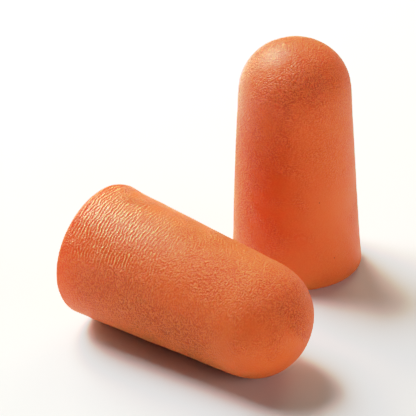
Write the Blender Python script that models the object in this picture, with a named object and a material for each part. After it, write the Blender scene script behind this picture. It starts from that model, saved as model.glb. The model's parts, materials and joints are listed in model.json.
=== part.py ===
"""A pair of foam ear plugs: one stands on its wide flat end and one lies on its side beside it.

Metres, +Z up. The origin is the middle of the standing plug's flat end, on the surface that
both plugs rest on. Each plug is one moulded body of foam, so each plug is one solid.
Along a plug's own axis, +Z runs from the middle of the flat end to the tip.
"""

import math

import bmesh
import bpy

# Driving dimensions of a plug
PLUG_LENGTH = 0.0246
BASE_RADIUS = 0.0067  # the cone's side carried on down to the flat end
SHOULDER_RADIUS = 0.0056  # where the cone runs into the rounded tip
TIP_HEIGHT = 0.0055  # the rounded tip, measured along the axis
RIM_ACROSS = 0.0013  # the flat end's rounded rim, measured along the radius
RIM_ALONG = 0.0007  # the same rim, measured along the axis
TIP_POWER_ACROSS = 2.0  # powers of the tip's superellipse, where 2 and 2 give an ellipse
TIP_POWER_ALONG = 2.4

# Where the lying plug lies, as seen from above
LYING_TURN = math.radians(-39.5)  # which way its tip points, counted from +X towards +Y
LYING_LEAD = 0.0106  # from its flat end to where the standing plug is level with it
PLUG_GAP = 0.00565  # clear surface between the two plugs' sides there

# How finely a plug is turned
SIDES = 48
RIM_STEPS = 5
SIDE_STEPS = 3
TIP_STEPS = 12
WELD_DISTANCE = 1e-7  # joins the points that the turning leaves on the axis
SHARP_ANGLE = math.radians(40.0)

# Finish
FOAM_COLOUR = (0.76, 0.127, 0.024, 1.0)
FOAM_ROUGHNESS = 0.8

# Worked out from the driving dimensions
SHOULDER_HEIGHT = PLUG_LENGTH - TIP_HEIGHT
TAPER = math.atan2(BASE_RADIUS - SHOULDER_RADIUS, SHOULDER_HEIGHT)
LYING_HEIGHT = BASE_RADIUS * math.cos(TAPER)  # of the axis at the flat end, above the surface


def clear_scene():
    """Remove every object that the file opened with."""
    for thing in list(bpy.data.objects):
        bpy.data.objects.remove(thing, do_unlink=True)


def side_radius(height):
    """Radius of the cone's straight side at a height above the flat end."""
    return BASE_RADIUS - height * math.tan(TAPER)


def lying_place():
    """Point of the surface under the middle of the lying plug's flat end.

    From the standing plug it is two radii and the gap across to the lying plug's axis,
    and then the lead back along that axis to the flat end.
    """
    along = (math.cos(LYING_TURN), math.sin(LYING_TURN))
    across = (-along[1], along[0])
    spacing = BASE_RADIUS + PLUG_GAP + side_radius(LYING_LEAD)
    x = -across[0] * spacing - along[0] * LYING_LEAD
    y = -across[1] * spacing - along[1] * LYING_LEAD
    return (x, y, 0.0)


def rim_points():
    """Quarter of an ellipse from the flat end's edge out to the side."""
    points = []
    for step in range(RIM_STEPS + 1):
        angle = 0.5 * math.pi * step / RIM_STEPS
        height = RIM_ALONG * (1.0 - math.cos(angle))
        inset = RIM_ACROSS * (1.0 - math.sin(angle))
        points.append((side_radius(height) - inset, height))
    return points


def side_points():
    """The straight side between the rim and the shoulder, without its two ends."""
    points = []
    for step in range(1, SIDE_STEPS):
        height = RIM_ALONG + (SHOULDER_HEIGHT - RIM_ALONG) * step / SIDE_STEPS
        points.append((side_radius(height), height))
    return points


def tip_points():
    """Superellipse from the shoulder to the tip, laid on the cone so that the two meet smoothly."""
    points = []
    for step in range(TIP_STEPS):
        angle = 0.5 * math.pi * step / TIP_STEPS
        height = SHOULDER_HEIGHT + TIP_HEIGHT * math.sin(angle) ** (2.0 / TIP_POWER_ALONG)
        share = math.cos(angle) ** (2.0 / TIP_POWER_ACROSS)
        points.append((side_radius(height) * share, height))
    points.append((0.0, PLUG_LENGTH))
    return points


def plug_mesh(name):
    """Turn the plug's outline once round the axis, then close the flat end with one face."""
    mesh = bpy.data.meshes.new(name)
    body = bmesh.new()
    points = rim_points() + side_points() + tip_points()
    outline = [body.verts.new((radius, 0.0, height)) for radius, height in points]
    edges = [body.edges.new(pair) for pair in zip(outline, outline[1:])]
    bmesh.ops.spin(
        body,
        geom=outline + edges,
        cent=(0.0, 0.0, 0.0),
        axis=(0.0, 0.0, 1.0),
        angle=math.tau,
        steps=SIDES,
        use_merge=True,
    )
    bmesh.ops.remove_doubles(body, verts=body.verts, dist=WELD_DISTANCE)
    bmesh.ops.holes_fill(body, edges=body.edges, sides=SIDES)
    bmesh.ops.recalc_face_normals(body, faces=body.faces)
    body.to_mesh(mesh)
    body.free()
    mesh.shade_smooth()
    mesh.set_sharp_from_angle(angle=SHARP_ANGLE)
    return mesh


def foam_material():
    """Matt orange slow-recovery foam."""
    material = bpy.data.materials.new("orange_foam")
    material.use_nodes = True
    shader = material.node_tree.nodes["Principled BSDF"]
    shader.inputs["Base Color"].default_value = FOAM_COLOUR
    shader.inputs["Roughness"].default_value = FOAM_ROUGHNESS
    shader.inputs["Metallic"].default_value = 0.0
    material.diffuse_color = FOAM_COLOUR
    return material


def add_empty(name, location, parent=None):
    """A plain axes empty that holds a piece's place."""
    empty = bpy.data.objects.new(name, None)
    empty.empty_display_size = BASE_RADIUS
    empty.location = location
    empty.parent = parent
    bpy.context.scene.collection.objects.link(empty)
    return empty


def add_plug(name, material, parent, location, rotation):
    """One plug, placed under its parent empty."""
    plug = bpy.data.objects.new(name, plug_mesh(name))
    plug.data.materials.append(material)
    plug.parent = parent
    plug.location = location
    plug.rotation_euler = rotation
    bpy.context.scene.collection.objects.link(plug)
    return plug


def build():
    """Both plugs. The lying one sits on an empty on the upright line that it lifts along."""
    clear_scene()
    foam = foam_material()
    pair = add_empty("ear_plug_pair", (0.0, 0.0, 0.0))
    add_plug("standing_plug", foam, pair, (0.0, 0.0, 0.0), (0.0, 0.0, 0.0))
    lift = add_empty("lying_plug_lift", lying_place(), pair)
    # The axis dips towards the tip by the taper, so that the straight side lies along the surface.
    dip = 0.5 * math.pi + TAPER
    add_plug("lying_plug", foam, lift, (0.0, 0.0, LYING_HEIGHT), (0.0, dip, LYING_TURN))


build()
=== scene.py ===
"""Looks of a pair of slow-recovery foam ear plugs, one standing and one lying.

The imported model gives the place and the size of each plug. Each plug is then made as one fine
turned surface with its moulded skin in real relief, and dressed in translucent orange foam.
"""

import json
import logging
import math
from collections.abc import Mapping, Sequence
from dataclasses import dataclass
from enum import Enum
from typing import Any

import bpy
import numpy as np
from mathutils import Matrix, Vector


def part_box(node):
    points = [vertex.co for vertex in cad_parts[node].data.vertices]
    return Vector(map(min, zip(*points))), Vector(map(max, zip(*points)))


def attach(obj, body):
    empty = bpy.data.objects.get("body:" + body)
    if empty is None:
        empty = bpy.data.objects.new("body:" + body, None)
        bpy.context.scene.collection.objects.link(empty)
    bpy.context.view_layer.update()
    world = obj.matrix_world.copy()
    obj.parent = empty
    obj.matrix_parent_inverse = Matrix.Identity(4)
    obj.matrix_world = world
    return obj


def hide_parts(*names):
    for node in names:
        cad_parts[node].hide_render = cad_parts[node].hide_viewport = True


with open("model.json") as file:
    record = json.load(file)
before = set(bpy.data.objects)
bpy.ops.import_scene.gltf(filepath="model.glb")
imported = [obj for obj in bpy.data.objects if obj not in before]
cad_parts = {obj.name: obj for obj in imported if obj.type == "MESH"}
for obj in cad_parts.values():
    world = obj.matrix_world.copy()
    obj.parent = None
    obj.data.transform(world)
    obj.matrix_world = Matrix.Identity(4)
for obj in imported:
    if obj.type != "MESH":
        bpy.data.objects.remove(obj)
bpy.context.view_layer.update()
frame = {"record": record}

MM = 0.001
TINY = 1e-9
FLAT_HEIGHT = 1e-6  # millimetres above the flat end within which a point belongs to it
MIX_SHARE, MIX_COLOURS, MIX_RESULT = 0, (6, 7), 2  # places of the Mix node's sockets for colours
CURVE_OF_ALL = 3  # place of the tone curve that acts on all three colours together
LOG = logging.getLogger("ear_plugs")


# ---------------------------------------------------------------------------------------------
# Helpers for surfaces


def smooth_step(low: float, high: float, value: np.ndarray) -> np.ndarray:
    """Ease from 0 at low to 1 at high: 3 t^2 - 2 t^3, with t the clipped share of the way.

    Args:
        low: Where the ease starts.
        high: Where it ends. It may be smaller than low, which turns the ease round.
        value: Any array.

    Returns:
        An array of the same shape, from 0 to 1.
    """
    share = np.clip((value - low) / (high - low), 0.0, 1.0)
    return share * share * (3.0 - 2.0 * share)


@dataclass(frozen=True)
class Waves:
    """A sum of plane waves in random directions, scaled to unit deviation.

    Each wave is cos(k . p + phase), with k pointing anywhere and its length 2 pi over a
    wavelength drawn within the spread.

    Attributes:
        wavelength: Mean wavelength, in millimetres.
        spread: Share by which single wavelengths differ from the mean.
        count: How many waves are summed.
        seed: What is added to the plug's own seed for the random draw.
    """

    wavelength: float
    spread: float
    count: int
    seed: int

    def over(self, points: np.ndarray, seed: int) -> np.ndarray:
        """Values of the sum.

        Args:
            points: N by 3 array of places, in millimetres.
            seed: The plug's own seed.

        Returns:
            One value for each point, with mean near 0 and deviation near 1.
        """
        draw = np.random.default_rng(seed + self.seed)
        turn = draw.normal(size=(self.count, 3))
        turn /= np.linalg.norm(turn, axis=1)[:, None]
        drawn = self.wavelength * (1.0 + self.spread * draw.uniform(-1.0, 1.0, self.count))
        phase = draw.uniform(0.0, math.tau, self.count)
        total = np.zeros(len(points))
        for k, shift in zip(turn * (math.tau / drawn)[:, None], phase):
            total += np.cos(points @ k + shift)
        return total * math.sqrt(2.0 / self.count)


@dataclass(frozen=True)
class Rings:
    """Waves whose crests run round a turned body, all equally high, and close after one turn.

    Each wave is the complex exponential of m angle + k along + phase. k is 2 pi over a pitch drawn
    about the mean, and the whole number m is drawn so that a crest leans by about the given slope
    from the ring. The result is the real part of their sum over the sum's own size.

    Attributes:
        pitch: Mean distance from crest to crest along the body, in millimetres.
        spread: Deviation of single pitches, as a share of the mean.
        lean: Deviation of the crests' lean, as a slope.
        radius: Radius at which the lean holds, in millimetres.
        count: How many waves are summed.
        seed: What is added to the plug's own seed for the random draw.
    """

    pitch: float
    spread: float
    lean: float
    radius: float
    count: int
    seed: int

    def over(self, angle: np.ndarray, along: np.ndarray, seed: int) -> np.ndarray:
        """Values of the waves.

        Args:
            angle: Angle round the body at each point.
            along: Arc length along the outline at each point, in millimetres.
            seed: The plug's own seed.

        Returns:
            One value for each point, 1 on a crest and -1 half-way between two.
        """
        draw = np.random.default_rng(seed + self.seed)
        steepness = math.tau / (self.pitch * (1.0 + self.spread * draw.normal(size=self.count)))
        turns = np.rint(draw.normal(size=self.count) * self.lean * steepness * self.radius)
        phase = draw.uniform(0.0, math.tau, self.count)
        total = np.zeros(len(angle), complex)
        for m, k, shift in zip(turns, steepness, phase):
            total += np.exp(1j * (m * angle + k * along + shift))
        return total.real / np.maximum(np.abs(total), TINY)


# ---------------------------------------------------------------------------------------------
# Helpers for shaders


class Number:
    """An output socket that carries a number, with the arithmetic that the finishes use."""

    def __init__(self, tree: bpy.types.NodeTree, socket: bpy.types.NodeSocket) -> None:
        """Keep the socket and the tree that it belongs to."""
        self.tree = tree
        self.socket = socket

    def _math(self, operation: str, *values: "Number | float") -> "Number":
        """Add one Math node.

        Args:
            operation: The node's operation.
            values: Its inputs in order, each a Number or a plain value.

        Returns:
            The node's result.
        """
        node = self.tree.nodes.new("ShaderNodeMath")
        node.operation = operation
        for slot, value in zip(node.inputs, values):
            if isinstance(value, Number):
                self.tree.links.new(value.socket, slot)
            else:
                slot.default_value = value
        return Number(self.tree, node.outputs[0])

    def __add__(self, other: "Number | float") -> "Number":
        """Sum."""
        return self._math("ADD", self, other)

    def __mul__(self, other: "Number | float") -> "Number":
        """Product."""
        return self._math("MULTIPLY", self, other)

    def __sub__(self, other: "Number | float") -> "Number":
        """Difference."""
        return self._math("SUBTRACT", self, other)

    def __rsub__(self, other: float) -> "Number":
        """Difference from a plain value."""
        return self._math("SUBTRACT", other, self)

    def eased(self, low: float, high: float) -> "Number":
        """Ease from 0 at low to 1 at high.

        Args:
            low: Where the ease starts.
            high: Where it ends.

        Returns:
            The eased value.
        """
        node = self.tree.nodes.new("ShaderNodeMapRange")
        node.interpolation_type = "SMOOTHSTEP"
        self.tree.links.new(self.socket, node.inputs["Value"])
        node.inputs["From Min"].default_value = low
        node.inputs["From Max"].default_value = high
        return Number(self.tree, node.outputs["Result"])


class Shader:
    """The node tree of one material or of the surroundings."""

    def __init__(self, owner: Any) -> None:
        """Switch the owner to nodes and empty its tree."""
        owner.use_nodes = True
        self.tree = owner.node_tree
        self.tree.nodes.clear()

    def node(self, kind: str, settings: Mapping[str, Any], sockets: Mapping[str, Any]) -> bpy.types.Node:
        """Add one node.

        Args:
            kind: The node's type, without the common start of its name.
            settings: Its own settings by name, which are set first.
            sockets: Its inputs by name, each a plain value, a Number or a socket to link from.

        Returns:
            The node.
        """
        made = self.tree.nodes.new("ShaderNode" + kind)
        for name, value in settings.items():
            setattr(made, name, value)
        for name, value in sockets.items():
            slot = made.inputs[name]
            if isinstance(value, Number):
                value = value.socket
            if isinstance(value, bpy.types.NodeSocket):
                self.tree.links.new(value, slot)
            else:
                slot.default_value = value
        return made

    def number(self, node: bpy.types.Node, output: str) -> Number:
        """One output of a node, for arithmetic."""
        return Number(self.tree, node.outputs[output])

    def mixed(self, share: Number, start: Any, end: Any) -> bpy.types.NodeSocket:
        """Colour between two others.

        Args:
            share: 0 gives start and 1 gives end.
            start: Colour or socket.
            end: Colour or socket.

        Returns:
            The colour's socket.
        """
        made = self.tree.nodes.new("ShaderNodeMix")
        made.data_type = "RGBA"
        self.tree.links.new(share.socket, made.inputs[MIX_SHARE])
        for place, value in zip(MIX_COLOURS, (start, end)):
            if isinstance(value, bpy.types.NodeSocket):
                self.tree.links.new(value, made.inputs[place])
            else:
                made.inputs[place].default_value = value
        return made.outputs[MIX_RESULT]


@dataclass(frozen=True)
class Noise:
    """Soft noise about one half. Its scale is in waves for each unit of the place that it reads."""

    scale: float
    detail: float = 2.0
    roughness: float = 0.5

    def over(self, shader: Shader, place: bpy.types.NodeSocket) -> Number:
        """Add the noise to a tree.

        Args:
            shader: The tree.
            place: Where each point is.

        Returns:
            The noise, from 0 to 1.
        """
        sockets = {"Vector": place, "Scale": self.scale, "Detail": self.detail, "Roughness": self.roughness}
        return shader.number(shader.node("TexNoise", {}, sockets), "Fac")


# ---------------------------------------------------------------------------------------------
# The plug's form


@dataclass(frozen=True)
class PlugForm:
    """Outline of a turned plug, in metres, and how finely it is drawn.

    Along the outline: the flat end from its middle to its rim, a quarter ellipse round the rim,
    the cone's straight side, and a superellipse over the tip that is laid on the same cone. The
    steps are distances from row to row, and over a blend one step passes into the next. Each
    stretch of the outline is first worked out at a dense number of points.
    """

    length: float
    base_radius: float = 0.0067
    shoulder_radius: float = 0.0056
    tip_height: float = 0.0055
    rim_across: float = 0.0013
    rim_along: float = 0.0007
    tip_power_across: float = 2.0
    tip_power_along: float = 2.4
    columns: int = 294
    flat_step: float = 0.00026
    rim_step: float = 0.00009
    ringed_step: float = 0.00006
    ringed_length: float = 0.0100
    tip_step: float = 0.00014
    rim_blend: float = 0.00054
    tip_blend: float = 0.0020
    dense: int = 400

    @property
    def shoulder_height(self) -> float:
        """Height of the shoulder above the flat end."""
        return self.length - self.tip_height

    @property
    def flat_radius(self) -> float:
        """Radius of the flat end inside its rounded rim."""
        return self.base_radius - self.rim_across

    def side_radius(self, height: np.ndarray) -> np.ndarray:
        """Radius of the straight side: it falls evenly from the base radius to the shoulder's."""
        narrowing = self.shoulder_radius - self.base_radius
        return self.base_radius + narrowing * height / self.shoulder_height

    def outline(self) -> tuple[np.ndarray, np.ndarray, np.ndarray]:
        """Rows of the outline from the middle of the flat end to the tip.

        The rows lie closer together where the relief is finer: each row's place is where the sum
        of arc length over the wanted step reaches the next whole number.

        Returns:
            Radius, height and arc length of each row, in metres. The first and the last row are
            the two poles.
        """
        quarter = np.linspace(0.0, 0.25 * math.tau, self.dense)
        rim_height = self.rim_along * (1.0 - np.cos(quarter))
        rim_radius = self.side_radius(rim_height) - self.rim_across * (1.0 - np.sin(quarter))
        side_height = np.linspace(self.rim_along, self.shoulder_height, self.dense)
        tip_rise = np.sin(quarter) ** (2.0 / self.tip_power_along)
        tip_height = self.shoulder_height + self.tip_height * tip_rise
        tip_radius = self.side_radius(tip_height) * np.cos(quarter) ** (2.0 / self.tip_power_across)
        flat_radius = np.linspace(0.0, rim_radius[0], self.dense)
        side_radius = self.side_radius(side_height)
        radius = np.concatenate([flat_radius, rim_radius[1:], side_radius[1:], tip_radius[1:]])
        height = np.concatenate([np.zeros(self.dense), rim_height[1:], side_height[1:], tip_height[1:]])
        arc = np.concatenate([[0.0], np.cumsum(np.hypot(np.diff(radius), np.diff(height)))])
        rim_start = self.flat_radius
        rings_start = rim_start + self.rim_across
        rings_end = rings_start + self.ringed_length
        step = np.interp(
            arc,
            [rim_start - self.rim_blend, rim_start, rings_start, rings_end, rings_end + self.tip_blend],
            [self.flat_step, self.rim_step, self.ringed_step, self.ringed_step, self.tip_step],
        )
        count = np.concatenate([[0.0], np.cumsum(np.diff(arc) * 2.0 / (step[1:] + step[:-1]))])
        place = np.interp(np.linspace(0.0, count[-1], round(count[-1])), count, arc)
        return np.interp(place, arc, radius), np.interp(place, arc, height), place


@dataclass(frozen=True)
class Patch:
    """Part of the side, given by the way that it faces in the frame and by where it is along the plug.

    Attributes:
        towards: Direction that its middle faces.
        half_angle: Angle from its middle to its edge round the plug, in degrees.
        start: Height along the plug where it starts, in millimetres.
        end: Height along the plug where it has faded out, in millimetres.
        ease: Length over which it comes in from its start, in millimetres.
        full_round: Share of the half angle inside which it is whole.
        full_along: Share of its end below which it is whole.
        ragged_round: How much its edge round the plug is broken up, as a share of the half angle.
        ragged_along: How much its end is broken up, in millimetres.
    """

    towards: tuple[float, float, float]
    half_angle: float
    start: float
    end: float
    ease: float = 0.9
    full_round: float = 0.2
    full_along: float = 0.3
    ragged_round: float = 0.14
    ragged_along: float = 1.1


@dataclass(frozen=True)
class SkinRelief:
    """Real relief of the moulded skin. Sizes are in millimetres.

    The middles are the mean heights that are taken off, so that the relief leaves the size alone.
    Faint rings are at their full share up to ring_rest_whole. Cloud is the grain's mean strength,
    and cloud_depth how far it wanders. The grain comes in from grain_start to grain_whole along the
    plug. The flare is widest at flare_above_rim past the flat end's edge, along the outline, and
    fades over flare_reach. The flat end has a flat_share of the relief, and squeeze is how much
    narrower the grain is taken to be the way that it is drawn out.
    """

    swell: Waves = Waves(wavelength=8.0, spread=0.3, count=12, seed=0)
    swell_depth: float = 0.014
    dimple: Waves = Waves(wavelength=2.4, spread=0.3, count=32, seed=1)
    dimple_depth: float = 0.006
    pebble: Waves = Waves(wavelength=0.50, spread=0.25, count=72, seed=2)
    pebble_depth: float = 0.014
    pebble_middle: float = 0.8
    pebble_top: float = 1.6
    ring: Rings = Rings(pitch=0.33, spread=0.16, lean=0.26, radius=6.4, count=64, seed=3)
    ring_power: float = 1.5
    ring_depth: float = 0.054
    ring_middle: float = 0.42
    ring_rest_whole: float = 1.0
    ragged: Waves = Waves(wavelength=2.6, spread=0.4, count=24, seed=5)
    clouds: Waves = Waves(wavelength=7.0, spread=0.3, count=16, seed=9)
    cloud: float = 0.85
    cloud_depth: float = 0.16
    cloud_least: float = 0.4
    grain_start: float = -3.0
    grain_whole: float = 2.5
    grain_loss_in_rings: float = 0.6
    gloss_loss_in_calm: float = 0.8
    flare_above_rim: float = 0.9
    flare_reach: float = 1.2
    flat_share: float = 0.25
    dish_depth: float = 0.12
    squeeze: float = 0.74


@dataclass(frozen=True)
class Stance:
    """What tells one plug from the other: how it came out of the mould and how it lies.

    Attributes:
        zero: Direction in the frame from which the angle round the plug is counted.
        stretch: Its length over the form's length.
        bow: How far its middle is off the straight axis, both ways, in millimetres.
        flare: How far the rim stands out on one side, in millimetres.
        flare_towards: Direction of that side.
        nipped: Where it was pressed into fine rings.
        nipped_share: Strength of the rings there.
        nipped_rest: Their strength elsewhere, which fades towards the patch's end.
        calm: Where its skin is smoother.
        glossy: Where its skin is glossier.
        polish: Its gloss outside and inside that patch, as shares.
        drawn: The way that its grain is drawn out, or None for round the plug.
        pressed: How far it is flattened by what it stands on, in millimetres.
        seed: Seed of its own random draws.
        oval: How far it is off round, as a share of the radius.
        oval_phase: It is widest where twice the angle round it is minus this, in radians.
        calm_share: How much of the grain and the rings is missing where it is calm.
    """

    zero: tuple[float, float, float]
    stretch: float
    bow: tuple[float, float]
    flare: float
    flare_towards: tuple[float, float, float]
    nipped: Patch
    nipped_share: float
    nipped_rest: float
    calm: tuple[Patch, ...]
    glossy: Patch
    polish: tuple[float, float]
    drawn: tuple[float, float, float] | None
    pressed: float
    seed: int
    oval: float = 0.002
    oval_phase: float = 0.7
    calm_share: float = 0.85


class Plug(Enum):
    """The two plugs, by the name that their node and their body have in the frame."""

    STANDING = "standing_plug"
    LYING = "lying_plug"

    @property
    def mount(self) -> Mapping[str, Any]:
        """The frame's record of this plug's flat end."""
        wanted = self.value + "_flat_end"
        return next(m for m in frame["record"]["mounts"] if m["name"] == wanted)


STANCES: Mapping[Plug, Stance] = {
    Plug.STANDING: Stance(
        zero=(1.0, 0.0, 0.0),
        stretch=1.006,
        bow=(-0.11, 0.0),
        flare=0.03,
        flare_towards=(0.3, -0.9, 0.0),
        nipped=Patch(towards=(-0.6, 0.8, 0.0), half_angle=70.0, start=1.0, end=9.0),
        nipped_share=0.45,
        nipped_rest=0.06,
        calm=(Patch(towards=(0.45, -0.9, 0.0), half_angle=115.0, start=-8.0, end=27.0),),
        glossy=Patch(towards=(-0.8, -0.6, 0.0), half_angle=110.0, start=14.0, end=90.0, ease=8.0),
        polish=(0.15, 1.0),
        drawn=(0.75, 0.0, 0.66),
        pressed=0.0,
        seed=11,
    ),
    Plug.LYING: Stance(
        zero=(0.0, 0.0, -1.0),
        stretch=1.0,
        bow=(0.13, 0.12),
        flare=0.12,
        flare_towards=(0.41, 0.49, 0.77),
        nipped=Patch(towards=(-0.1, -0.35, 0.93), half_angle=58.0, start=0.3, end=15.0),
        nipped_share=1.0,
        nipped_rest=0.04,
        calm=(
            Patch(towards=(0.15, 0.75, 0.65), half_angle=62.0, start=1.5, end=21.0),
            Patch(towards=(0.30, -0.80, -0.5), half_angle=125.0, start=16.0, end=90.0, ease=5.0),
        ),
        glossy=Patch(towards=(-0.1, -0.4, 0.9), half_angle=70.0, start=0.3, end=14.0),
        polish=(0.10, 1.0),
        drawn=None,
        pressed=0.02,
        seed=29,
    ),
}


@dataclass(frozen=True)
class FoamPlug:
    """One ear plug: a turned surface with moulded relief, set where the frame has it."""

    plug: Plug
    form: PlugForm
    stance: Stance
    relief: SkinRelief

    def axes(self) -> np.ndarray:
        """The plug's own axes in the frame, as the columns of a 3 by 3 array, the last along it."""
        along = -np.array(self.plug.mount["axis"], float)
        along /= np.linalg.norm(along)
        zero = np.array(self.stance.zero, float)
        zero -= (zero @ along) * along
        zero /= np.linalg.norm(zero)
        return np.stack([zero, np.cross(along, zero), along], axis=1)

    def angle_off(self, angle: np.ndarray, towards: tuple[float, float, float]) -> np.ndarray:
        """Angle round the plug counted from the side that faces a direction.

        Args:
            angle: Angle round the plug at each point.
            towards: Direction in the frame.

        Returns:
            Angle from -pi to pi.
        """
        facing = np.array(towards, float) @ self.axes()
        middle = math.atan2(facing[1], facing[0])
        return (angle - middle + np.pi) % math.tau - np.pi

    def patch_share(
        self, patch: Patch, angle: np.ndarray, height: np.ndarray, ragged: np.ndarray | float
    ) -> np.ndarray:
        """How far each point lies within a patch: one ease round the plug times two along it.

        Args:
            patch: The patch.
            angle: Angle round the plug at each point.
            height: Height along the plug at each point, in millimetres.
            ragged: Uneven values of unit deviation, which break its edge up, or 0 for a clean edge.

        Returns:
            Share from 0 to 1.
        """
        off = np.degrees(np.abs(self.angle_off(angle, patch.towards))) / patch.half_angle
        within = smooth_step(1.0, patch.full_round, off + patch.ragged_round * ragged)
        rise = smooth_step(patch.start, patch.start + patch.ease, height)
        fade = smooth_step(1.0, patch.full_along, (height + patch.ragged_along * ragged) / patch.end)
        return within * rise * fade

    def surface(self) -> tuple[np.ndarray, Mapping[str, np.ndarray]]:
        """Points of the plug on its grid, the poles first and last.

        The turned surface is r(s) (cos a, sin a), z(s) over angle a and arc length s. It is moved
        along its own normal by the relief, then bowed by 4 t (1 - t), with t the share of the way
        along it. Last it is set down on the surface, and what would be below is flattened.

        Returns:
            The points in the frame in metres, and what the finish reads at each point: skin (its
            place on the plug, with arc length along it), grain (the same, squeezed the way that
            the grain is drawn out) and relief (shares of grain, of rings, of crest and of polish).
        """
        radius, height, arc = (values / MM for values in self.form.outline())
        slope_radius, slope_height = np.gradient(radius), np.gradient(height)
        norm = np.hypot(slope_radius, slope_height)
        out_radius, out_height = slope_height / norm, -slope_radius / norm
        out_radius[0], out_height[0] = 0.0, -1.0
        out_radius[-1], out_height[-1] = 0.0, 1.0
        columns, last = self.form.columns, len(radius) - 1
        rows = np.concatenate([[0], np.repeat(np.arange(1, last), columns), [last]])
        turn = np.tile(math.tau * np.arange(columns) / columns, last - 1)
        angle = np.concatenate([[0.0], turn, [0.0]])
        r, z, s = radius[rows], height[rows], arc[rows]
        local = np.stack([r * np.cos(angle), r * np.sin(angle), z], axis=1)
        grain = self.drawn_out(local, s)
        lift, relief = self.relief_height(angle, s, local, grain)
        stance = self.stance
        oval = 1.0 + stance.oval * np.cos(2.0 * angle + stance.oval_phase)
        r_moved = (r + lift * out_radius[rows]) * oval
        z_moved = (z + lift * out_height[rows]) * stance.stretch
        share = np.clip(z_moved * MM / self.form.length, 0.0, 1.0)
        bow = 4.0 * share * (1.0 - share)
        x_moved = r_moved * np.cos(angle) + stance.bow[0] * bow
        y_moved = r_moved * np.sin(angle) + stance.bow[1] * bow
        moved = np.stack([x_moved, y_moved, z_moved], axis=1)
        points = (moved * MM) @ self.axes().T + np.array(self.plug.mount["pos_m"], float)
        lowest = points[:, 2].min() + stance.pressed * MM
        points[:, 2] = np.maximum(points[:, 2] - lowest, 0.0)
        skin = np.stack([local[:, 0], local[:, 1], s], axis=1)
        return points, {"skin": skin, "grain": grain, "relief": relief}

    def drawn_out(self, local: np.ndarray, along: np.ndarray) -> np.ndarray:
        """Coordinates for the grain, squeezed so that an even pattern in them comes out drawn out.

        A point p becomes p - (1 - q) (p . u) u with q the squeeze, for a grain that is drawn out
        along u. With no such direction the grain runs round the plug, and both of its cross
        coordinates are squeezed.

        Args:
            local: Points of the turned surface, in millimetres.
            along: Arc length along the outline, in millimetres.

        Returns:
            N by 3 array, in millimetres.
        """
        squeeze = self.relief.squeeze
        if self.stance.drawn is None:
            return np.stack([local[:, 0] * squeeze, local[:, 1] * squeeze, along], axis=1)
        way = np.array(self.stance.drawn, float)
        way /= np.linalg.norm(way)
        return local - (1.0 - squeeze) * (local @ way)[:, None] * way

    def relief_height(
        self, angle: np.ndarray, along: np.ndarray, local: np.ndarray, grain: np.ndarray
    ) -> tuple[np.ndarray, np.ndarray]:
        """Height of the skin's relief over the turned surface.

        Pebbles are the size, without its sign, of a sum of waves, so that creases run where the sum
        crosses nought. Rings are a power of (1 + w) / 2, with w the waves that run round the plug,
        so that a crest is narrower than the valley beside it. Slow swells and shallow dimples lie
        under both. The flat end is dished by 1 - (r / r_flat)^2. On one side the rim flares by
        cos^2 of the angle off that side, times a bell curve exp(-d^2) along the plug.

        Args:
            angle: Angle round the plug.
            along: Arc length along the outline, in millimetres.
            local: Points of the turned surface, in millimetres.
            grain: The grain's own coordinates, in millimetres.

        Returns:
            Height along the outward normal in millimetres, and an N by 4 array with the shares of
            grain, of rings, of crest and of polish.
        """
        relief, stance, seed = self.relief, self.stance, self.stance.seed
        height, radius = local[:, 2], np.hypot(local[:, 0], local[:, 1])
        flat_radius = self.form.flat_radius / MM
        ragged = relief.ragged.over(local, seed)
        nipped = self.patch_share(stance.nipped, angle, height, ragged)
        rest = stance.nipped_rest * smooth_step(stance.nipped.end, relief.ring_rest_whole, height)
        calm = np.max([self.patch_share(patch, angle, height, ragged) for patch in stance.calm], axis=0)
        lively = 1.0 - stance.calm_share * calm
        ring_share = (stance.nipped_share * nipped + rest * (1.0 - nipped)) * lively
        clouds = relief.cloud + relief.cloud_depth * relief.clouds.over(local, seed)
        grain_share = np.clip(clouds, relief.cloud_least, 1.0) * lively
        grain_share *= smooth_step(relief.grain_start, relief.grain_whole, height)
        grain_share *= 1.0 - relief.grain_loss_in_rings * ring_share

        swell = relief.swell_depth * relief.swell.over(local, seed)
        dimple = relief.dimple_depth * relief.dimple.over(local, seed)
        pebble = np.minimum(np.abs(relief.pebble.over(grain, seed)), relief.pebble_top)
        pebble = relief.pebble_depth * (pebble - relief.pebble_middle) * grain_share
        crest = (0.5 + 0.5 * relief.ring.over(angle, along, seed)) ** relief.ring_power
        ring = relief.ring_depth * (crest - relief.ring_middle) * ring_share
        lobe = np.clip(np.cos(self.angle_off(angle, stance.flare_towards)), 0.0, 1.0) ** 2
        above = (along - flat_radius - relief.flare_above_rim) / relief.flare_reach
        flare = stance.flare * lobe * np.exp(-(above**2))
        on_flat = height < FLAT_HEIGHT
        dish = np.where(on_flat, relief.dish_depth * (1.0 - (radius / flat_radius) ** 2), 0.0)
        skin = np.where(on_flat, relief.flat_share, 1.0) * (swell + dimple + pebble + ring)
        total = skin + flare - np.clip(dish, 0.0, None)

        glossy = self.patch_share(stance.glossy, angle, height, 0.0)
        glossy *= 1.0 - relief.gloss_loss_in_calm * calm
        polish = stance.polish[0] + (stance.polish[1] - stance.polish[0]) * glossy
        shares = np.stack([grain_share, ring_share, crest, polish], axis=1)
        return total, shares

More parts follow.
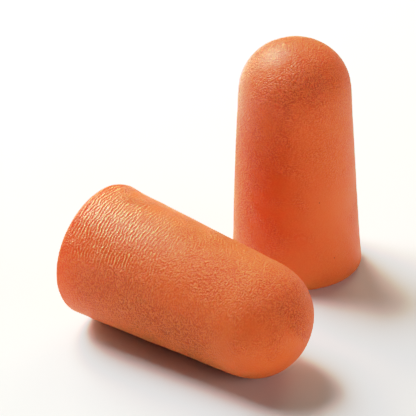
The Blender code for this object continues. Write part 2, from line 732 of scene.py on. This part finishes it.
    def faces(self, point_count: int) -> tuple[np.ndarray, np.ndarray]:
        """Corners of the grid's faces: a fan at each pole and four-cornered faces between.

        Args:
            point_count: How many points the grid has, with its two poles.

        Returns:
            Triangles and quads, as arrays of point numbers, both turned outwards.
        """
        columns = self.form.columns
        rows = (point_count - 2) // columns
        here = np.arange(columns)
        after = (here + 1) % columns
        first, last = 1, 1 + (rows - 1) * columns
        end = 1 + rows * columns
        bottom = np.stack([np.zeros(columns, int), first + after, first + here], axis=1)
        top = np.stack([np.full(columns, end), last + here, last + after], axis=1)
        start = (1 + np.arange(rows - 1) * columns)[:, None]
        above = start + columns
        quads = np.stack([start + here, start + after, above + after, above + here], axis=-1)
        return np.concatenate([bottom, top]), quads.reshape(-1, 4)

    def build(self) -> bpy.types.Object:
        """Make the plug's object at the origin, its place in its mesh.

        Returns:
            The object, shaded smooth, with what the finish reads as attributes.
        """
        points, attributes = self.surface()
        triangles, quads = self.faces(len(points))
        name = self.plug.value + "_foam"
        mesh = bpy.data.meshes.new(name)
        mesh.from_pydata(points, [], [*triangles.tolist(), *quads.tolist()])
        mesh.polygons.foreach_set("use_smooth", np.ones(len(mesh.polygons), bool))
        for label, values in attributes.items():
            kind, field = ("FLOAT_VECTOR", "vector") if values.shape[1] == 3 else ("FLOAT_COLOR", "color")
            layer = mesh.attributes.new(label, kind, "POINT")
            layer.data.foreach_set(field, np.ascontiguousarray(values, np.float32).ravel())
        mesh.update()
        made = bpy.data.objects.new(name, mesh)
        bpy.context.scene.collection.objects.link(made)
        return made

    def dress(self, made: bpy.types.Object, material: bpy.types.Material) -> None:
        """Give the piece its foam, hang it under its body's empty, and hide the part that it stands in for.

        Args:
            made: The plug's object.
            material: The foam.
        """
        made.data.materials.append(material)
        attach(made, self.plug.value)
        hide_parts(self.plug.value)


# ---------------------------------------------------------------------------------------------
# Finishes


@dataclass(frozen=True)
class Foam:
    """Translucent orange slow-recovery foam with a closed, finely pebbled skin.

    Noises read places in millimetres, and depths are in metres. A range is where an ease runs: the
    painted shade in creases, valleys and pits is whole below theirs, and the painted glints on the
    pebbles' tops, the painted highlight on each ring's crest and the pale clouds above.
    """

    name: str = "orange_foam"
    colour: tuple[float, float, float, float] = (0.79, 0.149, 0.028, 1.0)
    pale: tuple[float, float, float, float] = (0.80, 0.172, 0.034, 1.0)
    # Painted shade: the darker red given to the creases between pebbles and the valleys between rings.
    hollow_shade: tuple[float, float, float, float] = (0.67, 0.076, 0.016, 1.0)
    # Painted glints: the pale orange given to the pebbles' tops, in place of the light's glints on them.
    glint_colour: tuple[float, float, float, float] = (0.93, 0.280, 0.075, 1.0)
    # Painted highlight: the pale yellow given to each ring's crest, in place of the key light's glint on
    # it.
    crest: tuple[float, float, float, float] = (0.95, 0.620, 0.250, 1.0)
    # Painted shade: the dark red that fills the pits, over their real dent and dullness.
    pit_shade: tuple[float, float, float, float] = (0.30, 0.045, 0.012, 1.0)
    glow: float = 0.5
    glow_reach: tuple[float, float, float] = (0.0090, 0.00060, 0.00040)
    roughness: float = 0.52
    polished: float = 0.26
    gloss: float = 0.32
    gloss_roughness: float = 0.36
    shine: float = 0.38
    shine_tint: tuple[float, float, float, float] = (1.0, 0.85, 0.55, 1.0)
    ior: float = 1.45
    grain: Noise = Noise(scale=8.0, detail=0.3)
    grain_depth: float = 0.00042
    crease_shade_range: tuple[float, float] = (0.36, 0.52)
    crease_shade_share: float = 0.7
    glint_range: tuple[float, float] = (0.52, 0.66)
    glint_share: float = 0.7
    valley_shade_range: tuple[float, float] = (0.1, 0.6)
    valley_shade_share: float = 0.5
    crest_highlight_range: tuple[float, float] = (0.72, 0.95)
    pores: Noise = Noise(scale=9.0, roughness=0.6)
    pore_depth: float = 0.00001
    clouds: Noise = Noise(scale=0.22, detail=3.0, roughness=0.55)
    cloud_range: tuple[float, float] = (0.32, 0.68)
    wander: Noise = Noise(scale=0.9)
    wander_depth: float = 0.16
    pit_scale: float = 0.36
    pit_range: tuple[float, float] = (0.018, 0.034)
    pit_depth: float = 0.00004
    pit_shade_share: float = 0.8
    pit_dullness: float = 0.3

    def material(self) -> bpy.types.Material:
        """The foam as a material.

        Returns:
            A material that reads the attributes of a plug's mesh.
        """
        made = bpy.data.materials.new(self.name)
        shader = Shader(made)
        skin = shader.node("Attribute", {"attribute_name": "skin"}, {}).outputs["Vector"]
        grain = shader.node("Attribute", {"attribute_name": "grain"}, {}).outputs["Vector"]
        relief = shader.node("Attribute", {"attribute_name": "relief"}, {})
        shares = shader.node("SeparateColor", {}, {"Color": relief.outputs["Color"]})
        grain_share, ring_share, crest = (shader.number(shares, n) for n in ("Red", "Green", "Blue"))
        polish = shader.number(relief, "Alpha")
        pebbles = self.grain.over(shader, grain)
        pores = self.pores.over(shader, skin)
        pits = self.pits(shader, skin)
        height = pebbles * grain_share * self.grain_depth + pores * self.pore_depth - pits * self.pit_depth
        bump = shader.node("Bump", {}, {"Strength": 1.0, "Distance": 1.0, "Height": height})
        principled = shader.node(
            "BsdfPrincipled",
            {"subsurface_method": "RANDOM_WALK"},
            {
                "Base Color": self.tint(shader, skin, pebbles, grain_share, ring_share, crest, pits),
                "Roughness": self.dullness(shader, skin, polish, pits),
                "Normal": bump.outputs["Normal"],
                "Subsurface Weight": self.glow,
                "Subsurface Radius": self.glow_reach,
                "Subsurface Scale": 1.0,
                "IOR": self.ior,
                "Specular IOR Level": self.shine,
                "Specular Tint": self.shine_tint,
                "Coat Weight": polish * self.gloss,
                "Coat Roughness": self.gloss_roughness,
            },
        )
        shader.node("OutputMaterial", {}, {"Surface": principled.outputs["BSDF"]})
        return made

    def pits(self, shader: Shader, skin: bpy.types.NodeSocket) -> Number:
        """A few tiny open pits: small discs round scattered points.

        Args:
            shader: The material's tree.
            skin: Place on the plug, in millimetres.

        Returns:
            Share of pit.
        """
        settings = {"Vector": skin, "Scale": self.pit_scale, "Randomness": 1.0}
        scatter = shader.node("TexVoronoi", {"feature": "F1"}, settings)
        return 1.0 - shader.number(scatter, "Distance").eased(*self.pit_range)

    def tint(
        self,
        shader: Shader,
        skin: bpy.types.NodeSocket,
        pebbles: Number,
        grain_share: Number,
        ring_share: Number,
        crest: Number,
        pits: Number,
    ) -> bpy.types.NodeSocket:
        """Colour: soft clouds of two oranges, with painted shade in creases, valleys and pits.

        The pebbles' tops get painted glints, and each ring's crest a painted highlight.

        Args:
            shader: The material's tree.
            skin: Place on the plug, in millimetres.
            pebbles: The pebbles' noise, about one half.
            grain_share: Strength of the grain.
            ring_share: Strength of the rings.
            crest: 1 on a ring's crest and 0 in the valley between two.
            pits: Share of pit.

        Returns:
            The colour's socket.
        """
        clouds = self.clouds.over(shader, skin).eased(*self.cloud_range)
        # Painted shade in the creases between pebbles.
        creases = (1.0 - pebbles.eased(*self.crease_shade_range)) * grain_share * self.crease_shade_share
        # Painted glints on the pebbles' tops.
        painted_glints = pebbles.eased(*self.glint_range) * grain_share * self.glint_share
        # Painted shade in the valleys between rings.
        valleys = (1.0 - crest.eased(*self.valley_shade_range)) * ring_share * self.valley_shade_share
        # Painted highlight on each ring's crest.
        crest_highlights = crest.eased(*self.crest_highlight_range) * ring_share
        colour = shader.mixed(clouds, self.colour, self.pale)
        colour = shader.mixed(creases, colour, self.hollow_shade)
        colour = shader.mixed(painted_glints, colour, self.glint_colour)
        colour = shader.mixed(valleys, colour, self.hollow_shade)
        colour = shader.mixed(crest_highlights, colour, self.crest)
        # Painted shade in the pits.
        return shader.mixed(pits * self.pit_shade_share, colour, self.pit_shade)

    def dullness(self, shader: Shader, skin: bpy.types.NodeSocket, polish: Number, pits: Number) -> Number:
        """Roughness: it wanders a little with the skin, falls where it is polished and rises in pits.

        Args:
            shader: The material's tree.
            skin: Place on the plug, in millimetres.
            polish: Share of polish.
            pits: Share of pit.

        Returns:
            The roughness.
        """
        least = self.roughness - 0.5 * self.wander_depth
        dull = self.wander.over(shader, skin) * self.wander_depth + least
        return dull - polish * (self.roughness - self.polished) + pits * self.pit_dullness


@dataclass(frozen=True)
class FloorPaint:
    """Plain pale studio floor, with a trace of unevenness in how dull it is."""

    name: str = "floor_paint"
    colour: tuple[float, float, float, float] = (0.88, 0.885, 0.895, 1.0)
    unevenness: Noise = Noise(scale=20.0)
    least_roughness: float = 0.75
    roughness_range: float = 0.1
    shine: float = 0.2

    def material(self) -> bpy.types.Material:
        """The floor's paint.

        Returns:
            The material.
        """
        made = bpy.data.materials.new(self.name)
        shader = Shader(made)
        place = shader.node("TexCoord", {}, {}).outputs["Object"]
        rough = self.unevenness.over(shader, place) * self.roughness_range + self.least_roughness
        sockets = {"Base Color": self.colour, "Roughness": rough, "Specular IOR Level": self.shine}
        paint = shader.node("BsdfPrincipled", {}, sockets)
        shader.node("OutputMaterial", {}, {"Surface": paint.outputs["BSDF"]})
        return made


# ---------------------------------------------------------------------------------------------
# The studio


@dataclass(frozen=True)
class SoftBox:
    """A square soft light that looks at the plugs.

    Its azimuth is counted from behind them (+Y) towards their right (+X), in degrees.
    """

    name: str
    elevation: float
    azimuth: float
    side: float
    power: float
    distance: float = 0.60
    colour: tuple[float, float, float] = (1.0, 1.0, 1.0)

    def build(self, target: Vector) -> None:
        """Hang the light.

        Args:
            target: The point that it faces.
        """
        lamp = bpy.data.lights.new(self.name, "AREA")
        lamp.shape = "SQUARE"
        lamp.size = self.side
        lamp.energy = self.power
        lamp.color = self.colour
        made = bpy.data.objects.new(self.name, lamp)
        lift, turn = math.radians(self.elevation), math.radians(self.azimuth)
        away = Vector((math.sin(turn) * math.cos(lift), math.cos(turn) * math.cos(lift), math.sin(lift)))
        made.location = target + away * self.distance
        made.rotation_euler = away.to_track_quat("Z", "Y").to_euler()
        made.visible_camera = False
        bpy.context.scene.collection.objects.link(made)


@dataclass(frozen=True)
class Studio:
    """Floor, surroundings, lights, camera and tone.

    Ambient is how strongly the surroundings light things, and backdrop how bright they look. The
    shoulder gives what is shown for each amount of light, from black to white.
    """

    floor_radius: float = 0.30
    floor_sides: int = 96
    ambient: float = 0.03
    backdrop: float = 1.45
    camera_elevation: float = math.radians(28.76)
    camera_roll: float = math.radians(-2.11)
    camera_distance: float = 0.175
    camera_target: tuple[float, float, float] = (-0.00903, 0.0, 0.00664)
    camera_lens: float = 148.3
    camera_sensor: float = 36.0
    camera_near: float = 0.005
    lights: Sequence[SoftBox] = (
        SoftBox("key_light", 51.0, -45.0, 0.38, 5.8, colour=(0.97, 1.0, 1.0)),
        SoftBox("rear_light", 32.0, -25.0, 0.34, 2.0, colour=(1.0, 0.94, 0.72)),
        SoftBox("left_light", 16.0, -48.0, 0.30, 1.0, colour=(1.0, 0.93, 0.74)),
        SoftBox("back_light", 38.0, 25.0, 0.36, 0.9, colour=(1.0, 0.90, 0.62)),
        SoftBox("side_light", 15.0, 126.0, 0.34, 1.35, colour=(1.0, 0.84, 0.78)),
    )
    shoulder: Sequence[tuple[float, float]] = (
        (0.00, 0.00),
        (0.20, 0.20),
        (0.38, 0.38),
        (0.52, 0.55),
        (0.66, 0.66),
        (0.85, 0.74),
        (1.05, 0.79),
        (1.28, 0.90),
        (1.50, 1.00),
    )

    def floor(self) -> None:
        """A round pale floor: a ring of points at a fixed radius, closed by one face."""
        turn = math.tau * np.arange(self.floor_sides) / self.floor_sides
        ring = np.stack([np.cos(turn), np.sin(turn), np.zeros(self.floor_sides)], axis=1)
        mesh = bpy.data.meshes.new("floor")
        mesh.from_pydata(ring * self.floor_radius, [], [list(range(self.floor_sides))])
        mesh.materials.append(FloorPaint().material())
        made = bpy.data.objects.new("floor", mesh)
        bpy.context.scene.collection.objects.link(made)

    def surroundings(self) -> None:
        """Faint even light from all round, shown as a bright pale backdrop where it is seen directly."""
        world = bpy.data.worlds.new("studio")
        shader = Shader(world)
        path = shader.node("LightPath", {}, {})
        seen = shader.number(path, "Is Camera Ray")
        level = seen * (self.backdrop - self.ambient) + self.ambient
        light = shader.node("Background", {}, {"Color": (1.0, 1.0, 1.0, 1.0), "Strength": level})
        shader.node("OutputWorld", {}, {"Surface": light.outputs["Background"]})
        bpy.context.scene.world = world

    def camera(self) -> None:
        """Long lens above the horizon, looking along +Y, with a trace of roll."""
        lens = bpy.data.cameras.new("camera")
        lens.lens = self.camera_lens
        lens.sensor_width = self.camera_sensor
        lens.clip_start = self.camera_near
        made = bpy.data.objects.new("camera", lens)
        lift = self.camera_elevation
        back = Vector((0.0, -math.cos(lift), math.sin(lift)))
        level = Vector((1.0, 0.0, 0.0))
        upright = back.cross(level)
        right = level * math.cos(self.camera_roll) + upright * math.sin(self.camera_roll)
        up = back.cross(right)
        place = Matrix((right, up, back)).transposed().to_4x4()
        place.translation = Vector(self.camera_target) + back * self.camera_distance
        made.matrix_world = place
        bpy.context.scene.collection.objects.link(made)
        bpy.context.scene.camera = made

    def build(self) -> None:
        """Set up the whole studio."""
        self.floor()
        self.surroundings()
        for light in self.lights:
            light.build(Vector(self.camera_target))
        self.camera()
        self.tone()

    def tone(self) -> None:
        """Tone of the picture: straight up to the middle tones, then a soft shoulder to white."""
        view = bpy.context.scene.view_settings
        view.view_transform = "Standard"
        view.look = "None"
        white = self.shoulder[-1][0]
        view.use_curve_mapping = True
        mapping = view.curve_mapping
        mapping.white_level = (white, white, white)
        points = mapping.curves[CURVE_OF_ALL].points
        for light, shown in self.shoulder[1:-1]:
            points.new(light / white, shown)
        mapping.update()


def main() -> None:
    """Build the studio and both plugs, and report each piece."""
    logging.basicConfig(level=logging.INFO, format="%(name)s: %(message)s")
    Studio().build()
    low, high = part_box(Plug.STANDING.value)
    form = PlugForm(length=high[2] - low[2])
    foam = Foam().material()
    for plug in Plug:
        piece = FoamPlug(plug, form, STANCES[plug], SkinRelief())
        made = piece.build()
        piece.dress(made, foam)
        LOG.info("%s: %d faces on body %s", made.name, len(made.data.polygons), plug.value)


if __name__ == "__main__":
    main()
